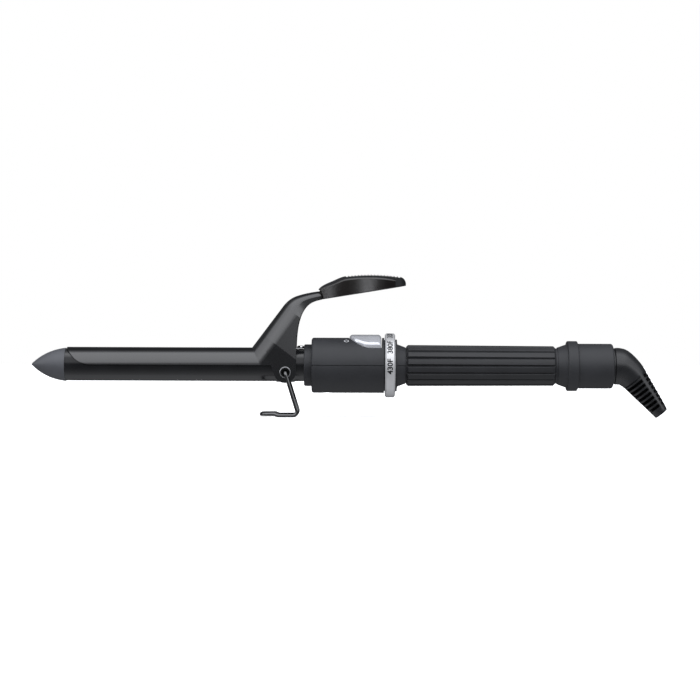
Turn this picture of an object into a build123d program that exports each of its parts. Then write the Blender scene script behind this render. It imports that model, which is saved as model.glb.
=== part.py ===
from build123d import *
import os
from math import acos, cos, pi, radians, sin, sqrt, tan

# Curling iron with a spring clamp, a wire stand, a temperature dial and a swivel cord outlet.
# All sizes are in millimetres. X runs along the iron from the cool tip (-X) to the cord outlet (+X),
# Z is up, and Z = 0 is the surface that the stand's foot and the cord outlet rest on.

os.makedirs("parts", exist_ok=True)

# ---------------------------------------------------------------- driving dimensions
axis_z = 30.5  # height of the barrel axis above the surface
running_gap = 0.1  # radial gap of a part that turns in or on another

# barrel and tip
barrel_r = 9.5
barrel_wall = 0.8
barrel_front = -167.2
barrel_rear = -17.2
tip_apex = -187.3
tip_base_r = 9.8

# clamp: a half tube that runs up into a channel-shaped lever
sheet = 0.7
clamp_r = barrel_r + 0.15 + sheet
tongue_front = -166.4
shoulder = (-57.4, clamp_r)  # x and height of the corner between tongue and lever
lever_angle = 53.2
lever_straight = 31.0  # length of the lever's straight part
pivot = (-37.6, -4.2)  # x and height of the hinge of clamp and stand

# stand
wire_r = 1.1
stand_half_width = 12.5
eyelet_head_y = 11.1

# handle
collar_front, collar_rear, collar_r = -26.7, -22.3, 12.3
housing_r, housing_rear = 16.25, 20.4
wall = 2.0
neck_r = 15.0
dial_front, dial_rear, dial_r = 20.9, 26.8, 18.9
flange_front, flange_rear, flange_r = 27.0, 27.9, 15.3
cone_r0, cone_r1, cone_rear = 12.6, 10.7, 33.0
tube_r, tube_rear = 10.4, 131.0
grip_front, grip_rear = 33.4, 121.2
grip_r0, grip_r1 = 12.15, 11.7
grip_lobes, groove_floor_r, groove_flare = 16, 10.85, 2.4
rear_cone_front, rear_flange_front, rear_flange_rear = 122.4, 128.0, 134.2
cap_front, cap_rear, cap_r = 134.3, 155.1, 13.2

# gear pair between the dial and the potentiometer
gear_module = 0.9
dial_teeth, pinion_teeth = 36, 18
pressure_angle = radians(20)
tooth_play = 0.06  # each flank is set back by this much at the pitch circle

# rocker switch
rocker_nose, rocker_waist, rocker_rear = 0.0, 12.6, 18.7
rocker_half_w, rocker_top_r, rocker_inner_r, rocker_round = 12.05, 18.1, 15.4, 2.0
rocker_pivot_h, rocker_tilt = 9.0, 3.0
rocker_gap = 0.5

# cord outlet
boot_angle = -51.6
boot_end = (184.2, -27.9)
boot_end_r = 4.2
cord_r = 3.1

# ---------------------------------------------------------------- shared frames and helpers
barrel_axis = Axis((0, 0, axis_z), (1, 0, 0))
side = Plane(origin=(0, 0, axis_z), x_dir=(1, 0, 0), z_dir=(0, -1, 0))  # x and height over the axis
pivot_line = Axis((pivot[0], 0, axis_z + pivot[1]), (0, 1, 0))


def station(x):
    """Cross-section plane at x: its local x is +Y, its local y is the height over the barrel axis."""
    return Plane(origin=(x, 0, axis_z), x_dir=(0, 1, 0), z_dir=(1, 0, 0))


def level(h, x=0):
    """Horizontal plane at height h over the barrel axis, with its origin at x."""
    return Plane(origin=(x, 0, axis_z + h), x_dir=(1, 0, 0), z_dir=(0, 0, 1))


def tilted(x, h, angle):
    """Plane across a line that leaves (x, h) at an angle above +X: its local y points up from the line."""
    a = radians(angle)
    return Plane(origin=(x, 0, axis_z + h), x_dir=(0, 1, 0), z_dir=(cos(a), 0, sin(a)))


def pinion_station(x):
    """Cross-section plane at x with its origin on the pinion's axis."""
    drop = (dial_teeth - pinion_teeth) * gear_module / 2
    return Plane(origin=(x, 0, axis_z - drop), x_dir=(0, 1, 0), z_dir=(1, 0, 0))


def box_between(low, high, mode=Mode.ADD):
    """Box between two corners given as x, y and height over the axis."""
    size = [b - a for a, b in zip(low, high)]
    with Locations((low[0], low[1], axis_z + low[2])):
        Box(*size, align=(Align.MIN, Align.MIN, Align.MIN), mode=mode)


def finish(part, name):
    """Labels a finished piece and writes it."""
    part.label = name
    export_step(part, f"parts/{name}.step")


# ---------------------------------------------------------------- barrel and heater
with BuildPart() as tip_cap:
    with BuildSketch(side):
        with BuildLine():
            shoulder_line = Line((barrel_front, 0), (barrel_front, tip_base_r))
            nose = ThreePointArc(shoulder_line @ 1, (-177.9, 6.95), (tip_apex, 0.5))
            Polyline(nose @ 1, (tip_apex, 0), (barrel_front, 0))
        make_face()
    revolve(axis=barrel_axis)
    with BuildSketch(station(barrel_front)):
        Circle(barrel_r - barrel_wall)
        Circle(barrel_r - barrel_wall - 1.5, mode=Mode.SUBTRACT)
    extrude(amount=9)
finish(tip_cap.part, "tip_cap")

spring_screw_x = -28.8
with BuildPart() as barrel_tube:
    with BuildSketch(station(barrel_front)):
        Circle(barrel_r)
        Circle(barrel_r - barrel_wall, mode=Mode.SUBTRACT)
    extrude(amount=barrel_rear - barrel_front)
    with BuildSketch(level(0, spring_screw_x)):
        Circle(1.2)
    extrude(amount=barrel_r + 1, mode=Mode.SUBTRACT)
finish(barrel_tube.part, "barrel_tube")

# two half rounds of aluminium press a flat heater plate between them
spreader_front, spreader_rear, spreader_r = -156.0, -52.0, 8.6
heater_half_t, heater_half_w = 0.65, 3.5
sensor_x, sensor_h = -60.0, 4.6

with BuildPart() as heat_spreader_upper:
    with BuildSketch(station(spreader_front)):
        Circle(spreader_r)
        with Locations((0, -spreader_r + heater_half_t)):
            Rectangle(2 * spreader_r, 2 * spreader_r, mode=Mode.SUBTRACT)
    extrude(amount=spreader_rear - spreader_front)
    with BuildSketch(station(sensor_x)):
        with Locations((0, sensor_h)):
            Circle(1.3)
    extrude(amount=spreader_rear - sensor_x, mode=Mode.SUBTRACT)
finish(heat_spreader_upper.part, "heat_spreader_upper")

with BuildPart() as heat_spreader_lower:
    with BuildSketch(station(spreader_front)):
        Circle(spreader_r)
        with Locations((0, spreader_r - heater_half_t)):
            Rectangle(2 * spreader_r, 2 * spreader_r, mode=Mode.SUBTRACT)
    extrude(amount=spreader_rear - spreader_front)
finish(heat_spreader_lower.part, "heat_spreader_lower")

heater_rear = -49.0
with BuildPart() as ceramic_heater:
    box_between(
        (spreader_front + 20, -heater_half_w, -heater_half_t),
        (heater_rear, heater_half_w, heater_half_t),
    )
finish(ceramic_heater.part, "ceramic_heater")

with BuildPart() as thermistor:
    with BuildSketch(station(sensor_x + 1.2)):
        with Locations((0, sensor_h)):
            Circle(1.0)
    extrude(amount=2.6)
    fillet(thermistor.edges().filter_by(GeomType.CIRCLE), 0.5)
    with BuildSketch(station(sensor_x + 3.8)):
        with Locations((-0.5, sensor_h), (0.5, sensor_h)):
            Circle(0.25)
    extrude(amount=14)
finish(thermistor.part, "thermistor")

fuse_h, fuse_x0, fuse_x1 = -5.2, -47.0, -38.0
with BuildPart() as thermal_fuse:
    with BuildSketch(station(fuse_x0)):
        with Locations((0, fuse_h)):
            Circle(1.7)
    extrude(amount=fuse_x1 - fuse_x0)
    fillet(thermal_fuse.edges().filter_by(GeomType.CIRCLE), 0.5)
    with BuildSketch(station(fuse_x0 - 3)):
        with Locations((0, fuse_h)):
            Circle(0.4)
    extrude(amount=fuse_x1 - fuse_x0 + 6)
finish(thermal_fuse.part, "thermal_fuse")

lead_r, lead_y = 0.8, 3.4
with BuildPart() as lead_spacer:
    with BuildSketch(station(-34.6)):
        Circle(8.6)
        with Locations((-lead_y, 0), (lead_y, 0)):
            Circle(lead_r + 0.2, mode=Mode.SUBTRACT)
        with Locations((0, 4.2)):
            Circle(1.2, mode=Mode.SUBTRACT)
    extrude(amount=3)
finish(lead_spacer.part, "lead_spacer")

# ---------------------------------------------------------------- hinge saddle, eyelets and leaf spring
saddle_r = 9.95
saddle_top = -3.3
with BuildPart() as hinge_bracket:
    with BuildSketch(station(pivot[0] - 5.4)):
        Circle(saddle_r)
        Circle(barrel_r, mode=Mode.SUBTRACT)
        with Locations((0, saddle_top + saddle_r)):
            Rectangle(4 * saddle_r, 2 * saddle_r, mode=Mode.SUBTRACT)
    extrude(amount=10.8)
    with BuildSketch(Plane(origin=(pivot[0], 12, axis_z + pivot[1]), z_dir=(0, 1, 0))):
        Circle(2.6)
    extrude(amount=-24, mode=Mode.SUBTRACT)
finish(hinge_bracket.part, "hinge_bracket")

# a hollow rivet on each side carries the clamp's ear outside and the end of the stand's wire inside
with BuildPart() as pivot_eyelets:
    with BuildSketch(Plane(origin=(pivot[0], 0, axis_z + pivot[1]), x_dir=(0, 1, 0), z_dir=(0, 0, 1))):
        Polygon((7.0, 1.15), (7.0, 2.6), (10.55, 2.6), (10.55, 3.5), (10.8, 3.5), (11.1, 3.1), (11.1, 2.3),
                (10.2, 1.15))
    revolve(axis=pivot_line)
    mirror(about=Plane.XZ)
    with BuildSketch(station(pivot[0] - 6)):
        Circle(barrel_r)
    extrude(amount=12, mode=Mode.SUBTRACT)
finish(pivot_eyelets.part, "pivot_eyelets")

spring_t, spring_w = 0.5, 6.0
spring_h = barrel_r + 0.05 + spring_t / 2
spring_rear, spring_bend = -26.9, (-50.2, spring_h)
spring_tip = (-42.2, 26.2)
with BuildPart() as leaf_spring:
    with BuildLine(side):
        FilletPolyline((spring_rear, spring_h), spring_bend, spring_tip, radius=3.0)
    with BuildSketch(station(spring_rear)):
        with Locations((0, spring_h)):
            Rectangle(spring_w, spring_t)
    sweep()
    with BuildSketch(level(barrel_r, spring_screw_x)):
        Circle(1.3)
    extrude(amount=2, mode=Mode.SUBTRACT)
finish(leaf_spring.part, "leaf_spring")

screw_seat = spring_h + spring_t / 2
with BuildPart() as spring_screw:
    with BuildSketch(level(6.6, spring_screw_x)):
        Circle(1.2)
    extrude(amount=screw_seat - 6.6)
    with BuildSketch(level(screw_seat, spring_screw_x)):
        Circle(2.1)
    extrude(amount=1.5)
    fillet(spring_screw.edges().filter_by(GeomType.CIRCLE).group_by(Axis.Z)[-1], 0.9)
    with BuildSketch(level(screw_seat + 0.8, spring_screw_x)):
        Rectangle(2.4, 0.5)
        Rectangle(0.5, 2.4)
    extrude(amount=2, mode=Mode.SUBTRACT)
finish(spring_screw.part, "spring_screw")


# ---------------------------------------------------------------- clamp
def arch(half_width, rise, spring_line, depth):
    """Channel outline, open side down: half an ellipse on two legs. Its crown is near the origin."""
    with BuildLine() as outline:
        EllipticalCenterArc((0, -spring_line), half_width, rise, 0, arc_size=180)
        Polyline(
            (-half_width, -spring_line),
            (-half_width, -depth),
            (half_width, -depth),
            (half_width, -spring_line),
        )
    make_face(outline.edges())


def lever_point(s):
    """Point at distance s along the lever's straight front edge."""
    a = radians(lever_angle)
    return shoulder[0] + s * cos(a), shoulder[1] + s * sin(a)


# sections of the lever's bend: x, height and direction of the front edge, half width, depth of the round
lever_bend = [
    (*lever_point(lever_straight), lever_angle, 8.6, 10.0),
    (-35.6, 38.4, 38.0, 7.8, 7.8),
    (-31.9, 40.5, 24.0, 6.9, 5.6),
    (-27.0, 42.0, 14.0, 6.0, 4.0),
    (-19.0, 43.5, 10.5, 5.0, 3.2),
    (-9.0, 45.3, 10.0, 4.6, 3.0),
]
bend_depth = [16.0, 14.5, 11.5, 9.5, 8.0, 8.0]
straight_start, taper_start = -10.0, 10.0
leg_depth = 31.0


def lever_solid(inset, mode):
    """The lever as a solid block, its crown and sides set in by inset."""
    straight_w = clamp_r - inset
    with BuildSketch(tilted(*lever_point(straight_start), lever_angle)) as start:
        arch(straight_w, straight_w, clamp_r, leg_depth + inset)
    extrude(start.sketch, amount=taper_start - straight_start, mode=mode)
    with BuildSketch(tilted(*lever_point(taper_start), lever_angle)) as low:
        arch(straight_w, straight_w, clamp_r, leg_depth + inset)
    x, h, angle, half_width, rise = lever_bend[0]
    with BuildSketch(tilted(x, h, angle)) as high:
        arch(half_width - inset, rise - inset, rise, leg_depth + inset)
    loft([low.sketch, high.sketch], ruled=True, mode=mode)
    rings = []
    for (x, h, angle, half_width, rise), depth in zip(lever_bend, bend_depth):
        with BuildSketch(tilted(x, h, angle)) as ring:
            arch(half_width - inset, rise - inset, rise, depth + inset)
        rings.append(ring.sketch)
    loft(rings, mode=mode)


with BuildPart() as lever_outline:
    with BuildSketch(side):
        with BuildLine():
            below = Polyline((-80, 0), (-45.9, 0), (-44.1, -5.4))
            lobe = ThreePointArc(below @ 1, (-38.3, -10.4), (-31.3, -3.6))
            rear = Line(lobe @ 1, (-31.3, 8.7))
            heel = Spline(rear @ 1, (-30.7, 20.0), (-27.9, 30.6), (-22.6, 36.8), (-16.0, 38.9), (-8.0, 40.6),
                          tangents=((0, 1), (1, 0.2)))
            Polyline(heel @ 1, (-8.0, 60), (-80, 60), (-80, 0))
        make_face()
    extrude(amount=20, both=True)

mitre = Plane(
    origin=(shoulder[0], 0, axis_z + shoulder[1]),
    x_dir=(0, 1, 0),
    z_dir=(cos(radians(lever_angle / 2)), 0, sin(radians(lever_angle / 2))),
)

with BuildPart() as tongue:
    with BuildSketch(station(tongue_front)):
        Circle(clamp_r)
        Circle(clamp_r - sheet, mode=Mode.SUBTRACT)
        with Locations((0, -clamp_r)):
            Rectangle(4 * clamp_r, 2 * clamp_r, mode=Mode.SUBTRACT)
    extrude(amount=shoulder[0] + 12 - tongue_front)
    with BuildSketch(side):
        with BuildLine():
            tongue_end = Spline((tongue_front, clamp_r), (-164.0, 6.8), (-160.0, 2.6), (-156.0, 0.75),
                                (-151.0, 0), tangents=((0.3, -1), (1, 0)))
            Polyline(tongue_end @ 1, (-151.0, -1), (tongue_front - 1, -1), (tongue_front - 1, clamp_r + 1),
                     (tongue_front, clamp_r + 1), tongue_end @ 0)
        make_face()
    extrude(amount=2 * clamp_r, both=True, mode=Mode.SUBTRACT)
    split(bisect_by=mitre, keep=Keep.BOTTOM)

# the thumb rest is moulded round the lever's end, with a ribbed pad over its top and rear end
tang_angle = radians(10)
tang_screw_length = 3.1
tang_screw = Plane(
    origin=(-13.0, 0, axis_z + 43.1),
    x_dir=(cos(tang_angle), 0, sin(tang_angle)),
    z_dir=(-sin(tang_angle), 0, cos(tang_angle)),
)
pad_t, pad_split_x, rim_bevel = 1.6, 26.8, 0.9
rest_low, rest_high = (-16.0, 39.0), (-18.3, 44.7)
rest_nose = (33.1, 47.1)
crest_x, crest_top, crest_r = 12.5, 53.3, 120.0
rib_count, rib_first, rib_pitch = 17, -1.6, 1.91
rib_r, rib_depth = 0.8, 0.6


def crest_height(x):
    """Height of the thumb rest's crest, a long arc with its top at crest_x."""
    return crest_top - crest_r + sqrt(crest_r**2 - (x - crest_x) ** 2)


def thumb_blank(inset):
    """Outer form of thumb rest and pad, its sides set in: a side outline crossed with a plan outline."""
    with BuildSketch(side) as outline:
        with BuildLine():
            rise = Spline(rest_high, (-10.3, 49.4), (-1.5, crest_height(-1.5)),
                          tangents=((0.62, 0.78), (1, 0.11)))
            crest = ThreePointArc(rise @ 1, (crest_x, crest_top), (29.5, crest_height(29.5)))
            nose = ThreePointArc(crest @ 1, (32.3, 50.4), rest_nose)
            Polyline(nose @ 1, rest_low, rest_high)
        make_face()
    extrude(outline.sketch, amount=12, both=True)
    with BuildSketch(level(30)) as plan:
        with BuildLine():
            half = Spline((-19.0, 5.6 - inset), (-8.0, 7.6 - inset), (6.0, 9.0 - inset), (20.0, 9.2 - inset),
                          (29.5, 7.2 - inset / 2), (33.3, 0), tangents=((1, 0.2), (0, -1)))
            Line(half @ 0, (-19.0, 0))
            mirror(about=Plane.XZ)
        make_face()
    extrude(plan.sketch, amount=30, mode=Mode.INTERSECT)


with BuildPart() as pad_region:
    with BuildSketch(side):
        with BuildLine():
            split_rise = Spline((rest_high[0] - 1.0, rest_high[1] - pad_t), (-9.8, 49.4 - pad_t),
                                (-1.2, 52.5 - pad_t), tangents=((0.62, 0.78), (1, 0.11)))
            split_crest = ThreePointArc(split_rise @ 1, (crest_x, crest_top - pad_t),
                                        (pad_split_x, 52.1 - pad_t))
            Polyline(split_crest @ 1, (pad_split_x, 40), (40, 40), (40, 60), (-25, 60),
                     (-25, rest_high[1] - pad_t), split_rise @ 0)
        make_face()
    extrude(amount=20, both=True)

with BuildPart() as lever_block:
    lever_solid(0, Mode.ADD)
    add(lever_outline.part, mode=Mode.INTERSECT)

with BuildPart() as thumb_rest:
    thumb_blank(0)
    add(pad_region.part, mode=Mode.SUBTRACT)
    rim_faces = [f for f in thumb_rest.faces() if f.normal_at().Z > 0.3 or f.normal_at().X < -0.8]
    rim_edges = [e for f in rim_faces for e in f.edges() if abs(e.position_at(0.5).Y) > 2]
    chamfer(rim_edges, rim_bevel)
    add(lever_block.part, mode=Mode.SUBTRACT)
    with BuildSketch(tang_screw):
        Circle(1.1)
    extrude(amount=tang_screw_length, mode=Mode.SUBTRACT)
finish(thumb_rest.part, "thumb_rest")

with BuildPart() as thumb_pad:
    thumb_blank(rim_bevel)
    add(pad_region.part, mode=Mode.INTERSECT)
    with BuildSketch(side):
        for i in range(rib_count):
            x = rib_first + i * rib_pitch
            with Locations((x, crest_height(x) + rib_r - rib_depth)):
                Circle(rib_r)
    extrude(amount=20, both=True, mode=Mode.SUBTRACT)
finish(thumb_pad.part, "thumb_pad")

with BuildPart() as thumb_screw:
    with BuildSketch(tang_screw):
        Circle(1.8)
    extrude(amount=-1.1)
    with BuildSketch(tang_screw):
        Circle(1.1)
    extrude(amount=tang_screw_length)
    with BuildSketch(tang_screw.offset(-1.1)):
        Rectangle(2.2, 0.5)
        Rectangle(0.5, 2.2)
    extrude(amount=0.6, mode=Mode.SUBTRACT)
finish(thumb_screw.part, "thumb_screw")

with BuildPart() as clamp_lever:
    lever_solid(0, Mode.ADD)
    lever_solid(sheet, Mode.SUBTRACT)
    add(lever_outline.part, mode=Mode.INTERSECT)
    split(bisect_by=mitre, keep=Keep.TOP)
    add(tongue.part)
    with BuildSketch(Plane(origin=(pivot[0], 15, axis_z + pivot[1]), z_dir=(0, 1, 0))):
        Circle(2.65)
    extrude(amount=-30, mode=Mode.SUBTRACT)
    with BuildSketch(tang_screw):
        Circle(1.1)
    extrude(amount=tang_screw_length, mode=Mode.SUBTRACT)
finish(clamp_lever.part, "clamp_lever")

# ---------------------------------------------------------------- stand
stand_knee = (-29.7, wire_r)
stand_step = ((-42.0, wire_r), (-43.6, wire_r + 0.8))
stand_toe = (-51.5, wire_r + 0.8)
wire_end_y = 9.2


def stand_side(y_sign):
    """Corners of one leg of the stand, from the hinge to the toe."""
    y = y_sign * stand_half_width
    hinge_z = axis_z + pivot[1]
    return [
        (pivot[0], y_sign * wire_end_y, hinge_z),
        (pivot[0], y, hinge_z),
        (stand_knee[0], y, stand_knee[1]),
        *[(x, y, z) for x, z in stand_step],
        (stand_toe[0], y, stand_toe[1]),
    ]


with BuildPart() as stand_wire:
    with BuildLine():
        leg_radii = [1.7, 2.4, 3.0, 3.0, 4.5]
        FilletPolyline(*stand_side(-1), *reversed(stand_side(1)), radius=leg_radii + leg_radii[::-1])
    with BuildSketch(Plane(origin=stand_side(-1)[0], z_dir=(0, -1, 0))):
        Circle(wire_r)
    sweep()
finish(stand_wire.part, "stand_wire")

# ---------------------------------------------------------------- heat-shield collar and housing shells
with BuildPart() as heat_shield_collar:
    with BuildSketch(side):
        Polygon(
            (collar_front, barrel_r), (collar_front, collar_r), (collar_rear, collar_r), (collar_rear, 11.0),
            (-20.25, 11.0), (-20.25, 13.0), (-18.15, 13.0), (-18.15, 11.4), (barrel_rear, 11.4),
            (barrel_rear, barrel_r),
        )
    revolve(axis=barrel_axis)
    front_edges = heat_shield_collar.edges().filter_by(GeomType.CIRCLE).group_by(Axis.X)[0]
    fillet(front_edges.sort_by(SortBy.RADIUS)[-1], 0.8)
finish(heat_shield_collar.part, "heat_shield_collar")

cavity_r = housing_r - wall
neck_bore = neck_r - 1.8
seam_half, seam_depth = 0.24, 0.5
boss_xs = (-13.0, 50.0, 108.0)
screw_seat_h, screw_tip_h = -6.5, 5.5
screw_r, screw_head_r = 1.35, 2.6


def rocker_block(grow, base_h, mode):
    """Upright block, half-elliptical towards the tip and cut off square at the rear."""
    half_w, rear = rocker_half_w + grow, rocker_rear + grow
    with BuildSketch(level(base_h)) as plan:
        with BuildLine():
            half_length = rocker_waist - rocker_nose + grow
            front = EllipticalCenterArc((rocker_waist, 0), half_length, half_w, 90, arc_size=180)
            Polyline(front @ 0, (rear, half_w), (rear, -half_w), front @ 1)
        make_face()
    extrude(plan.sketch, amount=housing_r + 3 - base_h, mode=mode)


with BuildPart() as shell:
    with BuildSketch(side):
        Polygon(
            (collar_rear, 11.05), (collar_rear, housing_r), (housing_rear, housing_r),
            (housing_rear, neck_r), (flange_front, neck_r), (flange_front, flange_r),
            (flange_rear, flange_r), (flange_rear, cone_r0),
            (cone_rear, cone_r1), (cone_rear, tube_r), (tube_rear, tube_r), (tube_rear, tube_r - wall),
            (cone_rear + 1, tube_r - wall), (28.6, 10.6), (26.95, 10.6), (26.95, neck_bore),
            (housing_rear - 1, neck_bore), (housing_rear - 1, cavity_r), (-16.9, cavity_r), (-16.9, 11.5),
            (-18.1, 11.5), (-18.1, 13.1), (-20.3, 13.1), (-20.3, 11.05),
        )
    revolve(axis=barrel_axis)
    front_edges = shell.edges().filter_by(GeomType.CIRCLE).group_by(Axis.X)[0]
    fillet(front_edges.sort_by(SortBy.RADIUS)[-1], 1.5)
    with BuildSketch(level(-seam_half)):
        inset_r = housing_r - seam_depth
        Polygon((collar_rear - 0.2, 12.3), (collar_rear + seam_depth, 12.3),
                (collar_rear + seam_depth, 14.7),
                (collar_rear + 1.6, inset_r), (housing_rear + 0.1, inset_r), (housing_rear + 0.1, 17),
                (collar_rear - 0.2, 17))
        Polygon((flange_rear, cone_r0 - seam_depth), (cone_rear + 0.1, cone_r1 - seam_depth),
                (cone_rear + 0.1, 11.2), (flange_rear, 13.2))
        mirror(about=Plane.XZ)
    extrude(amount=2 * seam_half, mode=Mode.SUBTRACT)

with BuildPart() as housing_upper:
    add(shell.part)
    split(bisect_by=level(0), keep=Keep.TOP)
    for x, reach in zip(boss_xs, (housing_r - 1, tube_r - 1, tube_r - 1)):
        with BuildSketch(level(0, x)):
            Circle(3.0)
        extrude(amount=reach)
        with BuildSketch(level(0, x)):
            Circle(screw_r)
        extrude(amount=screw_tip_h + 1, mode=Mode.SUBTRACT)
    rocker_block(rocker_gap, 6.6, Mode.SUBTRACT)
finish(housing_upper.part, "housing_upper")

pinion_tip_r = (pinion_teeth + 2) * gear_module / 2
board_top, board_t = -1.6, 1.4
board_rib_w, board_rib_drop = 9.0, 12.0  # the ribs end inside the shell's wall
with BuildPart() as housing_lower:
    add(shell.part)
    split(bisect_by=level(0), keep=Keep.BOTTOM)
    for x, reach in zip(boss_xs, (housing_r - 1, tube_r - 1, tube_r - 1)):
        with BuildSketch(level(0, x)):
            Circle(3.8)
        extrude(amount=-reach)
        with BuildSketch(level(0, x)):
            Circle(screw_r + 0.2)
        extrude(amount=-housing_r, mode=Mode.SUBTRACT)
        with BuildSketch(level(screw_seat_h, x)):
            Circle(screw_head_r + 0.2)
        extrude(amount=-housing_r, mode=Mode.SUBTRACT)
    for x in (-6.0, 9.0):
        box_between((x, -board_rib_w, -board_rib_drop), (x + 1.2, board_rib_w, board_top - board_t))
    with BuildSketch(pinion_station(23.4)):
        Circle(pinion_tip_r + 0.5)
    extrude(amount=26.95 - 23.4, mode=Mode.SUBTRACT)
finish(housing_lower.part, "housing_lower")

with BuildPart() as housing_screws:
    for x in boss_xs:
        with BuildSketch(level(screw_seat_h, x)):
            Circle(screw_r)
        extrude(amount=screw_tip_h - screw_seat_h)
        with BuildSketch(level(screw_seat_h, x)):
            Circle(screw_head_r)
        extrude(amount=-1.9)
        with BuildSketch(level(screw_seat_h - 1.9, x)):
            Rectangle(3.0, 0.7)
            Rectangle(0.7, 3.0)
        extrude(amount=1.1, mode=Mode.SUBTRACT)
finish(housing_screws.part, "housing_screws")

# ---------------------------------------------------------------- switch, board and potentiometer
rocker_axis = Axis((0, 0, axis_z + rocker_pivot_h), (1, 0, 0))
with BuildPart() as rocker_level:
    rocker_block(0, rocker_pivot_h, Mode.ADD)
    with BuildSketch(station(-10)):
        Circle(rocker_top_r)
    extrude(amount=40, mode=Mode.INTERSECT)
    crown = rocker_level.faces().filter_by(GeomType.CYLINDER).sort_by(SortBy.AREA)[-1]
    fillet(crown.edges(), rocker_round)
    with BuildSketch(station(-10)):
        Circle(rocker_inner_r)
    extrude(amount=40, mode=Mode.SUBTRACT)
    box_between((5.0, -0.8, rocker_pivot_h), (14.5, 0.8, housing_r))
    with BuildSketch(station(4.6)):
        with Locations((0, rocker_pivot_h)):
            Circle(1.5)
    extrude(amount=10.3)

with BuildPart() as power_rocker:
    add(rocker_level.part.rotate(rocker_axis, rocker_tilt))
finish(power_rocker.part, "power_rocker")

with BuildPart() as switch_body:
    box_between((4.0, -5.0, board_top), (15.4, 5.0, rocker_pivot_h + 0.3))
    with BuildSketch(station(4.0)):
        with Locations((0, rocker_pivot_h)):
            Circle(1.6)
    extrude(amount=12, mode=Mode.SUBTRACT)
finish(switch_body.part, "switch_body")

with BuildPart() as control_board:
    box_between((-8.0, -11.5, board_top - board_t), (18.9, 11.5, board_top))
finish(control_board.part, "control_board")

with BuildPart() as power_triac:
    box_between((-5.6, -9.5, board_top), (-1.2, -3.5, 7.5))
    fillet(power_triac.edges().filter_by(Axis.Z), 0.4)
finish(power_triac.part, "power_triac")

with BuildPart() as filter_capacitor:
    with BuildSketch(Plane(origin=(-2.2, 5.8, axis_z + board_top), z_dir=(0, 0, 1))):
        Circle(3.6)
    extrude(amount=9)
    fillet(filter_capacitor.edges().filter_by(GeomType.CIRCLE).group_by(Axis.Z)[-1], 0.6)
finish(filter_capacitor.part, "filter_capacitor")

pot_front, pot_rear = 14.0, 19.2
pot_rise = board_top - board_t + (dial_teeth - pinion_teeth) * gear_module / 2
with BuildPart() as potentiometer:
    with BuildSketch(pinion_station(pot_front)):
        Circle(5.0)
        with Locations((0, pot_rise / 2)):
            Rectangle(10, pot_rise)
    extrude(amount=pot_rear - pot_front)
    with BuildSketch(pinion_station(pot_front + 2)):
        Circle(2.05)
    extrude(amount=4, mode=Mode.SUBTRACT)
finish(potentiometer.part, "potentiometer")


def involute(angle):
    """Involute function of a pressure angle."""
    return tan(angle) - angle


def flank(radius, pitch_r, half_at_pitch):
    """Angle between a tooth's centre line and its flank at a radius."""
    base_r = pitch_r * cos(pressure_angle)
    return half_at_pitch + involute(pressure_angle) - involute(acos(min(1, base_r / radius)))


def polar(radius, angle):
    return radius * cos(angle), radius * sin(angle)


def gear_face(teeth, root_r, tip_r, play):
    """Outline of an external gear with one tooth pointing down; its flanks stand out by play."""
    pitch_r = teeth * gear_module / 2
    half = pi / (2 * teeth) + play / pitch_r
    step = 2 * pi / teeth
    with BuildLine() as outline:
        for i in range(teeth):
            centre = -pi / 2 + i * step
            rise = [polar(r, centre - flank(r, pitch_r, half)) for r in (root_r, pitch_r, tip_r)]
            fall = [polar(r, centre + flank(r, pitch_r, half)) for r in (tip_r, pitch_r, root_r)]
            ThreePointArc(*rise)
            ThreePointArc(rise[2], polar(tip_r, centre), fall[0])
            ThreePointArc(*fall)
            next_root = polar(root_r, centre + step - flank(root_r, pitch_r, half))
            ThreePointArc(fall[2], polar(root_r, centre + step / 2), next_root)
    make_face(outline.edges())


with BuildPart() as dial_pinion:
    with BuildSketch(pinion_station(23.7)):
        gear_face(pinion_teeth, pinion_tip_r - 2, pinion_tip_r, -tooth_play)
    extrude(amount=2.9)
    with BuildSketch(pinion_station(pot_front + 2.2)):
        Circle(2.0)
    extrude(amount=26.6 - pot_front - 2.2)
finish(dial_pinion.part, "dial_pinion")

# ---------------------------------------------------------------- temperature dial
ring_tip_r = (dial_teeth - 2) * gear_module / 2
with BuildPart() as temperature_dial:
    with BuildSketch(side):
        bore_r = neck_r + running_gap
        Polygon((dial_front, bore_r), (dial_front, dial_r - 0.9), (dial_front + 0.8, dial_r),
                (dial_rear - 0.8, dial_r), (dial_rear, dial_r - 0.9), (dial_rear, bore_r))
    revolve(axis=barrel_axis)
    with BuildSketch(station(23.5)):
        gear_face(dial_teeth, ring_tip_r, ring_tip_r + 2.0, tooth_play)
    extrude(amount=dial_rear - 23.5, mode=Mode.SUBTRACT)
finish(temperature_dial.part, "temperature_dial")


# ---------------------------------------------------------------- grip, rear collar and rear cap
with BuildPart() as grip_sleeve:
    with BuildSketch(side):
        Polygon((grip_front, tube_r), (grip_front, grip_r0 - 1.1), (grip_front + 1.1, grip_r0),
                (grip_rear - 1.1, grip_r1), (grip_rear, grip_r1 - 1.1), (grip_rear, tube_r))
    revolve(axis=barrel_axis)
    with BuildSketch(station(grip_front)):
        with PolarLocations(0, grip_lobes):
            Polygon((groove_floor_r, 0), (14.0, groove_flare), (14.0, -groove_flare))
    extrude(amount=grip_rear - grip_front, mode=Mode.SUBTRACT)
finish(grip_sleeve.part, "grip_sleeve")

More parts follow.
